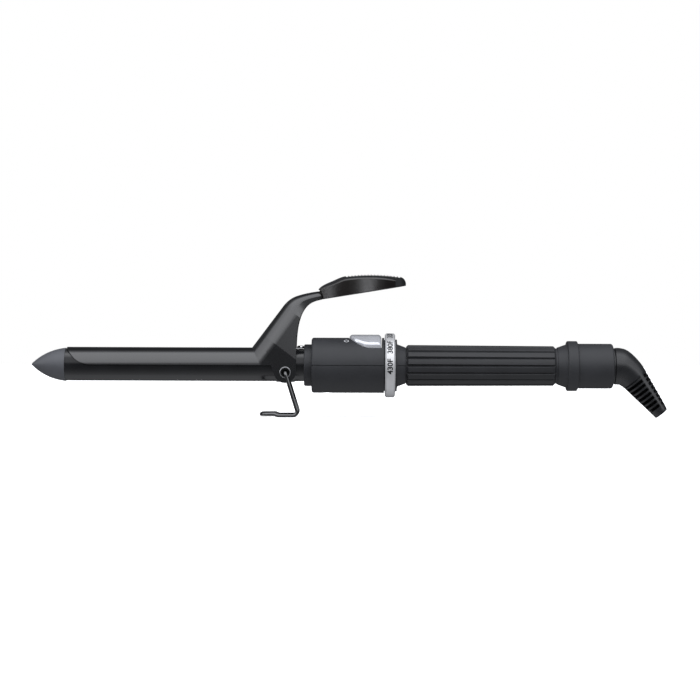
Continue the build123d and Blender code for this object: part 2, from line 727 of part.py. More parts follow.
spigot_r = cap_r - wall
with BuildPart() as rear_collar:
    with BuildSketch(side):
        Polygon((rear_cone_front, tube_r), (rear_cone_front, 10.9), (rear_flange_front, 12.9),
                (rear_flange_front, 14.75), (rear_flange_rear, 14.75), (rear_flange_rear, spigot_r - 0.05),
                (138.0, spigot_r - 0.05), (138.0, 9.4), (tube_rear, 9.4), (tube_rear, tube_r))
    revolve(axis=barrel_axis)
    rim = rear_collar.edges().filter_by(GeomType.CIRCLE).group_by(SortBy.RADIUS)[-1]
    fillet(rim, 0.7)
finish(rear_collar.part, "rear_collar")

neck_hole_r = 9.05
with BuildPart() as rear_cap:
    with BuildSketch(side):
        Polygon((cap_front, spigot_r), (cap_front, cap_r), (cap_rear, cap_r), (cap_rear, neck_hole_r),
                (cap_rear - wall, neck_hole_r), (cap_rear - wall, spigot_r))
    revolve(axis=barrel_axis)
    rear_edges = rear_cap.edges().filter_by(GeomType.CIRCLE).group_by(Axis.X)[-1]
    fillet(rear_edges.sort_by(SortBy.RADIUS)[-1], 1.3)
finish(rear_cap.part, "rear_cap")

# ---------------------------------------------------------------- swivel contacts, hub and strain relief
ring_r, ring_w, ring_fronts = 6.0, 2.5, (140.0, 145.0)
spindle_r = 4.5
block_front, block_rear = 129.5, 135.5
with BuildPart() as contact_block:
    with BuildSketch(station(block_front)):
        Circle(6.5)
    extrude(amount=2)
    with BuildSketch(station(tube_rear + 0.1)):
        Circle(9.3)
    extrude(amount=block_rear - tube_rear - 0.1)
finish(contact_block.part, "contact_block")

with BuildPart() as contact_springs:
    for ring_front, up in zip(ring_fronts, (1, -1)):
        inner, outer = ring_r + 0.15, ring_r + 0.5
        low, high = sorted((up * inner, up * outer))
        foot_low, foot_high = sorted((up * 3.5, up * outer))
        box_between((block_rear, -1.5, low), (ring_front + ring_w, 1.5, high))
        box_between((block_rear, -1.5, foot_low), (block_rear + 0.5, 1.5, foot_high))
finish(contact_springs.part, "contact_springs")

with BuildPart() as slip_rings:
    for ring_front in ring_fronts:
        with BuildSketch(station(ring_front)):
            Circle(ring_r)
            Circle(spindle_r, mode=Mode.SUBTRACT)
        extrude(amount=ring_w)
finish(slip_rings.part, "slip_rings")

boot_front, socket_r, socket_rear = 156.0, 6.0, 161.0
with BuildPart() as swivel_hub:
    with BuildSketch(side):
        Polygon((137.0, 3.0), (137.0, spindle_r), (150.9, spindle_r), (150.9, spigot_r - 0.3),
                (cap_rear - wall - 0.2, spigot_r - 0.3), (cap_rear - wall - 0.2, neck_hole_r - running_gap),
                (cap_rear + 0.2, neck_hole_r - running_gap), (cap_rear + 0.2, 10.6),
                (boot_front - 0.2, 10.6), (boot_front - 0.2, 10.0),
                (boot_front, 10.0), (boot_front, socket_r), (socket_rear, socket_r),
                (socket_rear, 3.0))
    revolve(axis=barrel_axis)
finish(swivel_hub.part, "swivel_hub")

# a drum with a domed end faces the cap; a taper leaves the dome's centre towards the cord
boot_u = (cos(radians(boot_angle)), sin(radians(boot_angle)))
dome_x, dome_r, drum_r = 162.1, 9.25, 10.85
taper_rate, taper_length, bore_length = 0.146, 35.6, 33.0
slot_w, slot_depth, slots_per_row = 1.35, 1.15, 8
# first slot, pitch, whether the row is on the outer side
slot_rows = ((4.6, 2.95, False), (4.4, 2.7, True))
spine_low, spine_high = radians(19), radians(37)


def boot_station(t):
    """Plane across the taper at distance t from its end: its local y points to the outer side."""
    return tilted(boot_end[0] - t * boot_u[0], boot_end[1] - t * boot_u[1], boot_angle)


with BuildPart() as strain_relief:
    with BuildSketch(boot_station(taper_length)) as wide_end:
        Circle(boot_end_r + taper_rate * taper_length)
    with BuildSketch(boot_station(0)) as narrow_end:
        Circle(boot_end_r)
    loft([wide_end.sketch, narrow_end.sketch], ruled=True)
    fillet(strain_relief.edges().filter_by(GeomType.CIRCLE).sort_by(Axis.Z)[0], 0.6)
    for first, pitch, outer in slot_rows:
        for k in range(slots_per_row):
            t = first + k * pitch
            edge = spine_high if outer else spine_low
            wedge = [(0, 0), polar(30, edge), (0, 60), polar(30, pi - edge)]
            with BuildSketch(boot_station(t + slot_w / 2)):
                Circle(boot_end_r + taper_rate * t + 3)
                Circle(boot_end_r + taper_rate * t - slot_depth, mode=Mode.SUBTRACT)
                Polygon(*wedge, mode=Mode.INTERSECT if outer else Mode.SUBTRACT)
            extrude(amount=slot_w, mode=Mode.SUBTRACT)
    with BuildSketch(side):
        with BuildLine():
            drum = Polyline((boot_front, 0), (boot_front, drum_r - 0.1), (158.9, drum_r))
            brow = ThreePointArc(drum @ 1, (161.9, 10.35), (164.6, 8.9))
            dome = ThreePointArc(brow @ 1, (169.0, 6.16), (dome_x + dome_r, 0))
            Line(dome @ 1, drum @ 0)
        make_face()
    revolve(axis=barrel_axis)
    split(bisect_by=station(boot_front), keep=Keep.TOP)
    with BuildSketch(boot_station(0)):
        Circle(cord_r)
    extrude(amount=-bore_length, mode=Mode.SUBTRACT)
    with BuildSketch(station(boot_front)):
        Circle(cord_r - 0.1)
    extrude(amount=164.5 - boot_front, mode=Mode.SUBTRACT)
    with BuildSketch(station(boot_front)):
        Circle(socket_r)
    extrude(amount=socket_rear - boot_front, mode=Mode.SUBTRACT)
finish(strain_relief.part, "strain_relief")

# ---------------------------------------------------------------- leads
board_lead_h = board_top + lead_r
with BuildPart() as heater_leads:
    for y in (-1, 1):
        path = [(heater_rear + 0.3, 2.2 * y, 0), (-42.0, lead_y * y, 0), (-29.5, lead_y * y, 0),
                (-18.5, 5.6 * y, 0.3), (-9.5, 6.2 * y, board_lead_h), (-6.6, 6.2 * y, board_lead_h)]
        points = [(px, py, axis_z + ph) for px, py, ph in path]
        with BuildLine() as route:
            FilletPolyline(*points, radius=(14, 14, 14, 8))
        with BuildSketch(Plane(origin=points[0], z_dir=Vector(*points[1]) - Vector(*points[0]))) as wire:
            Circle(lead_r)
        sweep(wire.sketch, path=route.line)
finish(heater_leads.part, "heater_leads")

with BuildPart() as supply_leads:
    for y in (-1, 1):
        path = [(block_front - 0.2, 4.6 * y, 1.5), (118.0, 5.6 * y, 3.0), (34.0, 5.6 * y, 3.0),
                (24.0, 5.8 * y, 1.5), (16.2, 6.0 * y, board_lead_h)]
        points = [(px, py, axis_z + ph) for px, py, ph in path]
        with BuildLine() as route:
            FilletPolyline(*points, radius=(25, 25, 25))
        with BuildSketch(Plane(origin=points[0], z_dir=Vector(*points[1]) - Vector(*points[0]))) as wire:
            Circle(lead_r)
        sweep(wire.sketch, path=route.line)
finish(supply_leads.part, "supply_leads")
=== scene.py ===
from math import cos, pi, radians, sin

import bmesh
import bpy
from mathutils import Matrix, Vector


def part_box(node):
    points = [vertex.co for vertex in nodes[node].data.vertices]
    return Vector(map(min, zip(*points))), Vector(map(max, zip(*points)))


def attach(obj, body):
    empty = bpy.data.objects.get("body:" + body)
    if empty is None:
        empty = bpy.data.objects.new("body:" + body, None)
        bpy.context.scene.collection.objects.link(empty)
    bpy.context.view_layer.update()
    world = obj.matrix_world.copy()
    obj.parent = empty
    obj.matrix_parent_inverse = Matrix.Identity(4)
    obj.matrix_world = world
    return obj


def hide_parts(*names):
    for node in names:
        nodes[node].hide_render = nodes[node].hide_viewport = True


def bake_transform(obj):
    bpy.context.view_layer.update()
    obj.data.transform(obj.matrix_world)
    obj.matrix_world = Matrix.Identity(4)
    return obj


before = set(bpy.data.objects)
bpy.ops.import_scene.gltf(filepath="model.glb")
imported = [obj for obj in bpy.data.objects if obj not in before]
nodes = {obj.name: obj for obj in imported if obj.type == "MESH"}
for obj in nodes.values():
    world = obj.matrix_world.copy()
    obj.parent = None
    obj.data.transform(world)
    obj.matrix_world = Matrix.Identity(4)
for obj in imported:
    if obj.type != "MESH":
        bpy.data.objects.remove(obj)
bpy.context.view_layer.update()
MM = 0.001

# ---------------------------------------------------------------- places read from the frame
dial_low, dial_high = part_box("temperature_dial")
axis_z = (dial_low.z + dial_high.z) / 2
dial_r = (dial_high.z - dial_low.z) / 2
dial_x = (dial_low.x + dial_high.x) / 2
housing_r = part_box("housing_upper")[1].z - axis_z
spring_low, spring_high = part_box("leaf_spring")


def at(x, h, y=0.0):
    """Point from millimetres: x, height over the barrel axis, y."""
    return Vector((x * MM, y * MM, axis_z + h * MM))


# ---------------------------------------------------------------- materials
def tree_of(name):
    """A new material's node tree, its Principled shader, and object coordinates."""
    material = bpy.data.materials.new(name)
    material.use_nodes = True
    tree = material.node_tree
    shader = tree.nodes["Principled BSDF"]
    coords = tree.nodes.new("ShaderNodeTexCoord").outputs["Object"]
    return material, tree, shader, coords


def noise(tree, coords, scale, detail=3.0, roughness=0.5, stretch=(1, 1, 1)):
    """Noise factor output; scale is in cycles per metre."""
    mapping = tree.nodes.new("ShaderNodeMapping")
    mapping.inputs["Scale"].default_value = stretch
    texture = tree.nodes.new("ShaderNodeTexNoise")
    texture.inputs["Scale"].default_value = scale
    texture.inputs["Detail"].default_value = detail
    texture.inputs["Roughness"].default_value = roughness
    tree.links.new(coords, mapping.inputs["Vector"])
    tree.links.new(mapping.outputs["Vector"], texture.inputs["Vector"])
    return texture.outputs["Fac"]


def ramp(tree, factor, low, high, start=0.3, end=0.7):
    """Colour between low and high over part of the factor's range."""
    node = tree.nodes.new("ShaderNodeValToRGB")
    node.color_ramp.elements[0].position = start
    node.color_ramp.elements[1].position = end
    node.color_ramp.elements[0].color = (*low, 1)
    node.color_ramp.elements[1].color = (*high, 1)
    tree.links.new(factor, node.inputs["Fac"])
    return node.outputs["Color"]


def spread(tree, factor, low, high):
    """Value between low and high over the middle of a noise's range."""
    node = tree.nodes.new("ShaderNodeMapRange")
    node.inputs["From Min"].default_value = 0.3
    node.inputs["From Max"].default_value = 0.7
    node.inputs["To Min"].default_value = low
    node.inputs["To Max"].default_value = high
    tree.links.new(factor, node.inputs["Value"])
    return node.outputs["Result"]


def relief(tree, shader, factor, depth, edge=0.0):
    """Bump of a depth in millimetres, over edges rounded by edge millimetres."""
    bump = tree.nodes.new("ShaderNodeBump")
    bump.inputs["Distance"].default_value = depth * MM
    tree.links.new(factor, bump.inputs["Height"])
    if edge:
        bevel = tree.nodes.new("ShaderNodeBevel")
        bevel.samples = 6
        bevel.inputs["Radius"].default_value = edge * MM
        tree.links.new(bevel.outputs["Normal"], bump.inputs["Normal"])
    tree.links.new(bump.outputs["Normal"], shader.inputs["Normal"])


def surface(name, tones, rough, grain, depth, metallic=0.0, coat=0.0, coat_rough=0.05, edge=0.0,
            patch=60, stretch=(1, 1, 1), specular=0.5):
    """Colour drifts between two tones, roughness varies with it, and a fine grain gives the relief.

    Scales of patch and grain are in cycles per metre; depth and edge are in millimetres.
    """
    material, tree, shader, coords = tree_of(name)
    drift = noise(tree, coords, patch, 4.0)
    fine = noise(tree, coords, grain, 3.0, 0.6, stretch)
    tree.links.new(ramp(tree, drift, *tones), shader.inputs["Base Color"])
    blend = tree.nodes.new("ShaderNodeMath")
    blend.operation = "ADD"
    half = tree.nodes.new("ShaderNodeMath")
    half.operation = "MULTIPLY"
    half.inputs[1].default_value = 0.5
    tree.links.new(drift, blend.inputs[0])
    tree.links.new(fine, blend.inputs[1])
    tree.links.new(blend.outputs[0], half.inputs[0])
    tree.links.new(spread(tree, half.outputs[0], *rough), shader.inputs["Roughness"])
    shader.inputs["Metallic"].default_value = metallic
    shader.inputs["Coat Weight"].default_value = coat
    shader.inputs["Coat Roughness"].default_value = coat_rough
    shader.inputs["Specular IOR Level"].default_value = specular
    relief(tree, shader, fine, depth, edge=edge)
    return material


def grey(value, blue=1.18):
    """A grey that leans a little to blue."""
    return value, value * (1 + (blue - 1) / 4), value * blue


looks = {
    # outer mouldings and enamels
    "enamel": surface("gloss_enamel", (grey(0.007), grey(0.010)), (0.14, 0.20), 900, 0.008,
                      coat=0.4, coat_rough=0.10, edge=0.15, specular=0.6),
    "barrel": surface("barrel_enamel", (grey(0.006), grey(0.009)), (0.14, 0.20), 900, 0.008, edge=0.15),
    "clamp": surface("clamp_enamel", (grey(0.005), grey(0.008)), (0.14, 0.20), 800, 0.006, edge=0.18),
    "tip": surface("tip_moulding", (grey(0.058), grey(0.072)), (0.46, 0.58), 5200, 0.025, edge=0.25),
    "soft": surface("soft_touch", (grey(0.020), grey(0.027)), (0.48, 0.60), 6500, 0.020,
                    edge=0.2, specular=0.35),
    "collar": surface("collar_moulding", (grey(0.018), grey(0.024)), (0.40, 0.52), 5200, 0.02,
                      edge=0.2, specular=0.3),
    "grip": surface("grip_rubber", (grey(0.014), grey(0.020)), (0.46, 0.58), 4200, 0.045,
                    edge=0.3, specular=0.4),
    "boot": surface("cord_boot", (grey(0.009), grey(0.014)), (0.24, 0.32), 3600, 0.02,
                    edge=0.12, specular=0.45),
    # near-black painted shade for the deep slot faces of the cord outlet
    "hollow": surface("painted_slot_shade", (grey(0.002), grey(0.004)), (0.6, 0.8), 3600, 0.02, specular=0.1),
    "hub": surface("hub_moulding", (grey(0.010), grey(0.016)), (0.26, 0.36), 4800, 0.02, edge=0.15),
    "gloss": surface("gloss_black", ((0.006, 0.005, 0.005), (0.009, 0.008, 0.007)), (0.13, 0.19), 500, 0.005,
                     edge=0.25),
    "pad": surface("ribbed_pad", (grey(0.008), grey(0.013)), (0.40, 0.52), 5200, 0.02,
                   edge=0.12, specular=0.3),
    "dial": surface("satin_silver", (grey(0.56, 1.02), grey(0.63, 1.02)), (0.28, 0.38), 9000, 0.010,
                    metallic=0.42, edge=0.12, patch=140),
    "rocker": surface("silver_paint", (grey(0.60, 1.08), grey(0.67, 1.08)), (0.16, 0.24), 9000, 0.008,
                      metallic=0.45, coat=0.4, edge=0.35, patch=140),
    "ink": surface("dial_ink", (grey(0.010), grey(0.016)), (0.5, 0.62), 7000, 0.006, specular=0.2),
    "pale_ink": surface("pale_ink", (grey(0.42, 1.04), grey(0.55, 1.04)), (0.45, 0.6), 7000, 0.008),
    # bare and plated metal
    "bright": surface("bright_nickel", (grey(0.62, 1.01), grey(0.72, 1.01)), (0.12, 0.22), 2600, 0.006,
                      metallic=1.0, edge=0.1, patch=300),
    "wire": surface("black_nickel", (grey(0.10, 1.02), grey(0.15, 1.02)), (0.04, 0.08), 2400, 0.004,
                    metallic=1.0, patch=260),
    "spring": surface("spring_strip", (grey(0.70, 1.0), grey(0.80, 1.0)), (0.22, 0.34), 900, 0.008,
                      metallic=0.5, patch=200, stretch=(0.15, 6, 0.15)),
    "zinc": surface("zinc_plate", (grey(0.50, 1.05), grey(0.62, 1.05)), (0.28, 0.42), 3000, 0.01,
                    metallic=1.0, edge=0.1, patch=300),
    "alloy": surface("spreader_alloy", (grey(0.62, 1.02), grey(0.72, 1.02)), (0.30, 0.45), 600, 0.015,
                     metallic=1.0, stretch=(0.1, 5, 5)),
    "brass": surface("contact_brass", ((0.62, 0.42, 0.16), (0.74, 0.54, 0.24)), (0.2, 0.34), 1800, 0.01,
                     metallic=1.0),
    # inside
    "ceramic": surface("alumina", ((0.72, 0.69, 0.62), (0.80, 0.78, 0.72)), (0.35, 0.5), 4000, 0.015),
    "glass": surface("bead_glass", ((0.42, 0.22, 0.08), (0.55, 0.32, 0.14)), (0.06, 0.12), 1500, 0.004,
                     coat=0.5),
    "insulator": surface("insulator", (grey(0.022), grey(0.032)), (0.42, 0.56), 5000, 0.02, edge=0.1),
    "board": surface("glass_fibre_board", ((0.02, 0.11, 0.05), (0.03, 0.16, 0.07)), (0.3, 0.42), 2600, 0.012,
                     stretch=(1, 1, 0.2)),
    "film": surface("capacitor_film", ((0.02, 0.03, 0.12), (0.03, 0.05, 0.18)), (0.22, 0.32), 1800, 0.008,
                    coat=0.2),
    "acetal": surface("acetal", (grey(0.72, 0.98), grey(0.80, 0.98)), (0.34, 0.46), 4200, 0.01, edge=0.08),
    "sleeve": surface("braid_sleeve", ((0.70, 0.67, 0.58), (0.80, 0.77, 0.70)), (0.6, 0.75), 5200, 0.05,
                      stretch=(0.5, 2, 2)),
    "jacket": surface("lead_jacket", (grey(0.10), grey(0.14)), (0.4, 0.52), 3600, 0.015),
}


def fill_ramp(element_list, stops):
    """Fills a colour ramp with (position, tone) stops, in place of the two that it starts with."""
    for position, tone in stops:
        element_list.new(position).color = (*tone, 1)
    element_list.remove(element_list[0])
    element_list.remove(element_list[-1])


def facing_reflection_shade(look, stops):
    """Reflection strength that follows how far the surface faces up: painted shade and painted highlight in
    the gloss.
    """
    tree = looks[look].node_tree
    rise = tree.nodes.new("ShaderNodeSeparateXYZ")
    tree.links.new(tree.nodes.new("ShaderNodeTexCoord").outputs["Normal"], rise.inputs[0])
    share = tree.nodes.new("ShaderNodeMath")
    share.operation = "MULTIPLY_ADD"
    share.inputs[1].default_value = 0.5
    share.inputs[2].default_value = 0.5
    tree.links.new(rise.outputs["Z"], share.inputs[0])
    painted_gloss_shade = tree.nodes.new("ShaderNodeValToRGB")
    fill_ramp(painted_gloss_shade.color_ramp.elements, [((up + 1) / 2, (gloss, gloss, gloss)) for up, gloss in stops])
    tree.links.new(share.outputs[0], painted_gloss_shade.inputs["Fac"])
    tree.links.new(painted_gloss_shade.outputs["Color"], tree.nodes["Principled BSDF"].inputs["Specular IOR Level"])


# painted shade and highlight in the gloss: how far up the surface faces, from -1 to 1, and its gloss there
facing_reflection_shade("barrel", ((-0.80, 0.65), (-0.30, 0.42), (0.08, 0.25), (0.42, 0.25), (0.60, 0.62)))
facing_reflection_shade("clamp", ((-0.10, 0.45), (0.12, 0.88), (0.70, 0.88), (0.84, 0.12)))
facing_reflection_shade("gloss", ((0.30, 0.22), (0.50, 0.90)))


def eyelet_look():
    """Black-nickel rivet with a lighter ring at its rolled rim; the tone follows the distance from its axis.
    """
    material, tree, shader, coords = tree_of("eyelet_rim")
    low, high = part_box("pivot_eyelets")
    middle = (low + high) / 2
    flat = tree.nodes.new("ShaderNodeVectorMath")
    flat.operation = "MULTIPLY_ADD"
    flat.inputs[1].default_value = (1, 0, 1)
    flat.inputs[2].default_value = (-middle.x, 0, -middle.z)
    tree.links.new(coords, flat.inputs[0])
    reach = tree.nodes.new("ShaderNodeVectorMath")
    reach.operation = "LENGTH"
    tree.links.new(flat.outputs["Vector"], reach.inputs[0])
    share = tree.nodes.new("ShaderNodeMath")
    share.operation = "DIVIDE"
    share.inputs[1].default_value = (high.x - low.x) / 2
    tree.links.new(reach.outputs["Value"], share.inputs[0])
    band = tree.nodes.new("ShaderNodeValToRGB")
    rim_tones = ((0.74, 0.02), (0.82, 0.30), (0.91, 0.30), (0.96, 0.03))
    rim_stops = [(position, (tone, tone, tone * 1.03)) for position, tone in rim_tones]
    fill_ramp(band.color_ramp.elements, rim_stops)
    tree.links.new(share.outputs[0], band.inputs["Fac"])
    tree.links.new(band.outputs["Color"], shader.inputs["Base Color"])
    shader.inputs["Metallic"].default_value = 0.9
    fine = noise(tree, coords, 2600)
    tree.links.new(spread(tree, fine, 0.2, 0.32), shader.inputs["Roughness"])
    relief(tree, shader, fine, 0.006, edge=0.1)
    return material


looks["eyelet"] = eyelet_look()

node_looks = {
    "tip_cap": "tip", "barrel_tube": "barrel",
    "heat_spreader_upper": "alloy", "heat_spreader_lower": "alloy",
    "ceramic_heater": "ceramic", "thermistor": "glass", "thermal_fuse": "zinc", "lead_spacer": "insulator",
    "heater_leads": "sleeve", "hinge_bracket": "enamel", "pivot_eyelets": "eyelet", "leaf_spring": "spring",
    "spring_screw": "bright", "clamp_lever": "clamp", "thumb_rest": "gloss", "thumb_pad": "pad",
    "thumb_screw": "zinc", "stand_wire": "wire", "heat_shield_collar": "collar", "housing_upper": "soft",
    "housing_lower": "soft", "housing_screws": "zinc", "power_rocker": "rocker", "switch_body": "insulator",
    "control_board": "board", "power_triac": "insulator", "filter_capacitor": "film",
    "potentiometer": "insulator",
    "dial_pinion": "acetal", "temperature_dial": "dial", "grip_sleeve": "grip", "rear_collar": "soft",
    "rear_cap": "soft", "supply_leads": "jacket", "contact_block": "insulator", "contact_springs": "brass",
    "slip_rings": "brass", "swivel_hub": "hub", "strain_relief": "boot",
}
for node_name, look in node_looks.items():
    for material_slot in nodes[node_name].material_slots:
        material_slot.material = looks[look]


# ---------------------------------------------------------------- pieces
def piece(name, mesh, look, body, crease=35):
    """Object from a finished mesh, smooth but for its creases, with its look and its body."""
    mesh.materials.clear()
    mesh.materials.append(looks[look])
    mesh.shade_smooth()
    mesh.set_sharp_from_angle(angle=radians(crease))
    made = bpy.data.objects.new(name, mesh)
    bpy.context.scene.collection.objects.link(made)
    if body:
        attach(made, body)
    return made


def mesh_from(name, verts, faces):
    """Mesh with its faces turned outward."""
    mesh = bpy.data.meshes.new(name)
    mesh.from_pydata([tuple(v) for v in verts], [], faces)
    bm = bmesh.new()
    bm.from_mesh(mesh)
    bmesh.ops.recalc_face_normals(bm, faces=bm.faces)
    bm.to_mesh(mesh)
    bm.free()
    return mesh


def skin(rings, closed_ends=True):
    """Vertices and faces of a skin over rings of equal size."""
    count = len(rings[0])
    verts = [v for ring in rings for v in ring]
    faces = []
    for r in range(len(rings) - 1):
        for k in range(count):
            a, b = r * count + k, r * count + (k + 1) % count
            faces.append((a, b, b + count, a + count))
    if closed_ends:
        faces.append(tuple(range(count)))
        last = (len(rings) - 1) * count
        faces.append(tuple(last + k for k in range(count)))
    return verts, faces


def on_drum(mesh, radius, x_mid, angle):
    """Wraps a flat print: its x runs up round the drum from the near side, its y towards the tip."""
    for v in mesh.vertices:
        turn = angle + v.co.x / radius
        out = radius + v.co.z
        y, z = -out * cos(turn), out * sin(turn)
        v.co = Vector((x_mid - v.co.y, y, axis_z + z))


def dial_number(text, angle):
    """A printed number on the dial, reading upwards on the near side, cut finely enough to bend round it."""
    height, thickness, boldness, width_scale = 4.3 * MM, 0.02 * MM, 0.13 * MM, 1.08
    cut_step, cut_reach, weld = 0.4 * MM, 20, 0.01 * MM
    curve = bpy.data.curves.new("number_" + text, "FONT")
    curve.body = text
    curve.size = height
    curve.align_x = "CENTER"
    curve.align_y = "CENTER"
    curve.extrude = thickness
    curve.offset = boldness
    source = bpy.data.objects.new("number_source", curve)
    bpy.context.scene.collection.objects.link(source)
    bpy.context.view_layer.update()
    mesh = bpy.data.meshes.new_from_object(source.evaluated_get(bpy.context.evaluated_depsgraph_get()))
    bpy.data.objects.remove(source)
    bm = bmesh.new()
    bm.from_mesh(mesh)
    bmesh.ops.remove_doubles(bm, verts=bm.verts, dist=weld)
    for k in range(-cut_reach, cut_reach + 1):
        cut = Vector((k * cut_step, 0, 0))
        whole = bm.verts[:] + bm.edges[:] + bm.faces[:]
        bmesh.ops.bisect_plane(bm, geom=whole, plane_co=cut, plane_no=(1, 0, 0))
    bm.to_mesh(mesh)
    bm.free()
    for v in mesh.vertices:
        v.co.x *= width_scale
    on_drum(mesh, dial_r, dial_x, angle)
    mark = piece("dial_number_" + text, mesh, "ink", "dial", crease=20)


def flat_ring(outer, inner, thickness, steps=48):
    """Flat ring standing on z = 0."""
    rings = []
    for k in range(steps):
        a = 2 * pi * k / steps
        rings.append([Vector((r * cos(a), r * sin(a), z)) for r, z in
                      ((outer, -thickness), (outer, thickness), (inner, thickness), (inner, -thickness))])
    rings.append(rings[0])
    return skin(rings, closed_ends=False)


def flat_bar(length, width, thickness, steps=8):
    """Flat bar on z = 0, along x."""
    rings = []
    for k in range(steps + 1):
        x = -length / 2 + length * k / steps
        rings.append([Vector((x, y, z)) for y, z in ((-width / 2, -thickness), (-width / 2, thickness),
                                                     (width / 2, thickness), (width / 2, -thickness))])
    return skin(rings)


def filleted(corners, radius, steps):
    """Corner points joined by straight runs and tangent arcs."""
    route = [corners[0]]
    for before, corner, after in zip(corners, corners[1:], corners[2:]):
        to_before, to_after = (before - corner).normalized(), (after - corner).normalized()
        turn = to_before.angle(to_after)
        bisector = (to_before + to_after).normalized()
        centre = corner + bisector * radius / sin(turn / 2)
        start = corner + to_before * radius * cos(turn / 2) / sin(turn / 2) - centre
        end = corner + to_after * radius * cos(turn / 2) / sin(turn / 2) - centre
        toward, away = start.normalized(), end.normalized()
        route += [centre + toward.slerp(away, k / steps) * radius for k in range(steps + 1)]
    route.append(corners[-1])
    return route


def resampled(route, step):
    """Extra points along the runs of a route that are longer than a step."""
    fine = [route[0]]
    for a, b in zip(route, route[1:]):
        parts = max(1, round((b - a).length / step))
        fine += [a.lerp(b, k / parts) for k in range(1, parts + 1)]
    return fine


# -- leaf spring: a strip that bends between the barrel and the lever
spring_half_t, spring_half_w = 0.25 * MM, (spring_high.y - spring_low.y) / 2
spring_base_h, spring_bend_r, spring_bend_steps, spring_step = 9.8, 3.0 * MM, 10, 1.0 * MM
spring_nose_w, spring_nose_run = 0.62, 5 * MM  # width left at the free end, and the run that it narrows over
spring_foot = at(-26.9, spring_base_h)
spring_corner = at(-50.2, spring_base_h)
spring_tip = at(-42.3, 26.0)
spring_bends = filleted([spring_foot, spring_corner, spring_tip], spring_bend_r, spring_bend_steps)
spring_route = resampled(spring_bends, spring_step)
# the strip's section as shares of its half thickness and half width, with eased edges
spring_section = ((1, -0.96), (1, -0.5), (1, 0), (1, 0.5), (1, 0.96), (0.5, 1),
                  (-0.5, 1), (-1, 0.96), (-1, 0), (-1, -0.96), (-0.5, -1), (0.5, -1))
spring_rings = []
for i, point in enumerate(spring_route):
    ahead = spring_route[min(i + 1, len(spring_route) - 1)] - spring_route[max(i - 1, 0)]
    normal = Vector((-ahead.z, 0, ahead.x)).normalized() * spring_half_t
    left = (len(spring_route) - 1 - i) * spring_step
    half_w = spring_half_w * min(1.0, spring_nose_w + left / spring_nose_run)
    spring_rings.append([point + normal * side + Vector((0, half_w * across, 0))
                         for side, across in spring_section])
spring_mesh = mesh_from("leaf_spring_strip", *skin(spring_rings))
spring_strip = piece("leaf_spring_strip", spring_mesh, "spring", None)
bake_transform(spring_strip)
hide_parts("leaf_spring")

# -- cord outlet: an elbow that tapers towards the cord, with rows of slots that let it bend; in millimetres
boot_turn, boot_end, boot_end_r, boot_taper, cord_r = radians(-51.6), (184.2, -27.9), 4.2, 0.146, 3.1
boot_swell, boot_swell_run = 0.2, 6.0
boot_front, socket_r, boot_front_r = 156.0, 6.2, 10.75
elbow_end_t, elbow_steps, boot_segments = 25.1, 6, 180
slot_width, slot_edge, slots_per_row, slot_end = 1.7, 0.09, 8, 2  # slot_end in degrees
# slot faces cut deeper than the second value, in millimetres, get the near-black painted shade
boot_core_r, hollow_from = 2.2, 0.7


def along_taper(t):
    """Ring of the taper at distance t from its end: x, height, radius, direction.

    Its outer side swells a little.
    """
    swell = boot_swell * min(1.0, t / boot_swell_run)
    x = boot_end[0] - t * cos(boot_turn) - swell * sin(boot_turn)
    h = boot_end[1] - t * sin(boot_turn) + swell * cos(boot_turn)
    return x, h, boot_end_r + boot_taper * t + swell, boot_turn


def eased(before, a, b, after, share):
    """Catmull-Rom step between a and b."""
    return 0.5 * (2 * a + (b - before) * share + (2 * before - 5 * a + 4 * b - after) * share**2
                  + (3 * a - before - 3 * b + after) * share**3)


def step_up(value, low, high):
    """0 below low, 1 above high, straight between."""
    return min(1.0, max(0.0, (value - low) / (high - low)))


slot_rows = [
    # first slot, pitch, first and last angle from the outer side in degrees, depth
    (4.5, 2.95, 73, 166, 3.2),
    (4.3, 2.72, 13, 52, 2.4),
    (4.3, 2.72, -20, 20, 0.2),
]
slot_list = [(first + k * pitch, low, high, depth)
             for first, pitch, low, high, depth in slot_rows for k in range(slots_per_row)]


def slot_cut(t, angle):
    """Depth of the slots at a place on the taper; the angle in degrees runs from the outer side."""
    cut = 0.0
    for start, low, high, depth in slot_list:
        across = step_up(t, start - slot_edge, start + slot_edge)
        across -= step_up(t, start + slot_width - slot_edge, start + slot_width + slot_edge)
        if across > 0:
            ends = min(step_up(angle, low - slot_end, low + slot_end),
                       1 - step_up(angle, high - slot_end, high + slot_end))
            deepest = boot_end_r + boot_taper * t - boot_core_r
            cut = max(cut, across * ends * min(depth, deepest))
    return cut


# the elbow's knots, each x, height, radius and direction; the first and last only steer the curve
elbow = [(boot_front - 2, 0.0, boot_front_r - 0.1, 0.0), (boot_front, 0.0, boot_front_r, 0.0),
         (158.7, -0.05, 10.85, radians(-2.5)), (161.65, -0.85, 10.42, radians(-13)),
         (165.7, -4.25, 9.03, radians(-32)), along_taper(elbow_end_t), along_taper(20.0)]
elbow = [Vector(knot) for knot in elbow]
